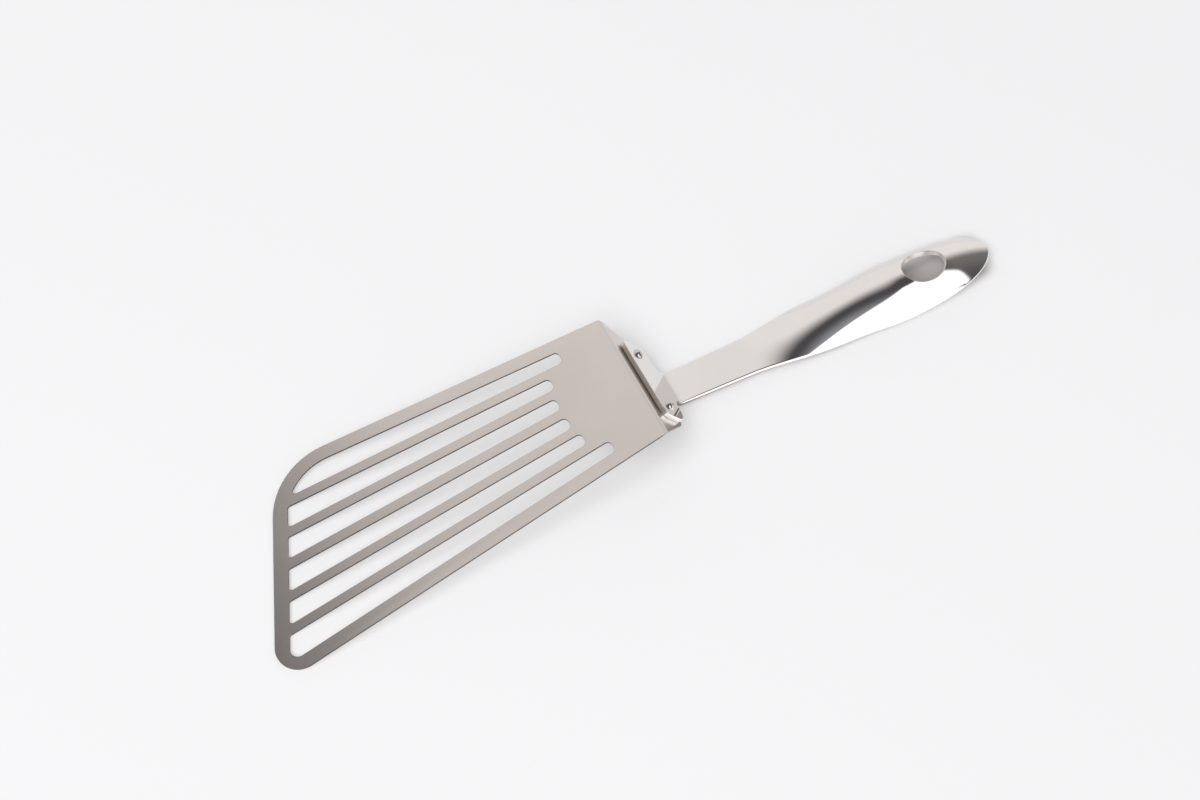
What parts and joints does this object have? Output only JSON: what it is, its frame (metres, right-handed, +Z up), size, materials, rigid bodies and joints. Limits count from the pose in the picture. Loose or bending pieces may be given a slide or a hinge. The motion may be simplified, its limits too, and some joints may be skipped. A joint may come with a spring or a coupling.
{
  "type": "slotted fish spatula",
  "caption": "Slotted steel turner with a slanted front edge and a pressed, hollow-backed handle riveted to its bent tail.",
  "frame": {"origin": "centre of the footprint, on the surface the spatula lies on", "axes": "+X from the blade to the grip, +Z up, +Y to the short side of the blade; the front edge lies flat on Z = 0 and one rim of the grip touches it"},
  "size_m": [0.3136, 0.077, 0.0281],
  "materials": {
    "satin_steel": "satin",
    "polished_steel": "mirror polished stainless steel",
    "rivet_steel": "polished stainless steel"
  },
  "bodies": {
    "root": {"blade": "satin_steel", "handle": "polished_steel", "upper_rivet": "rivet_steel", "lower_rivet": "rivet_steel"}
  },
  "joints": []
}
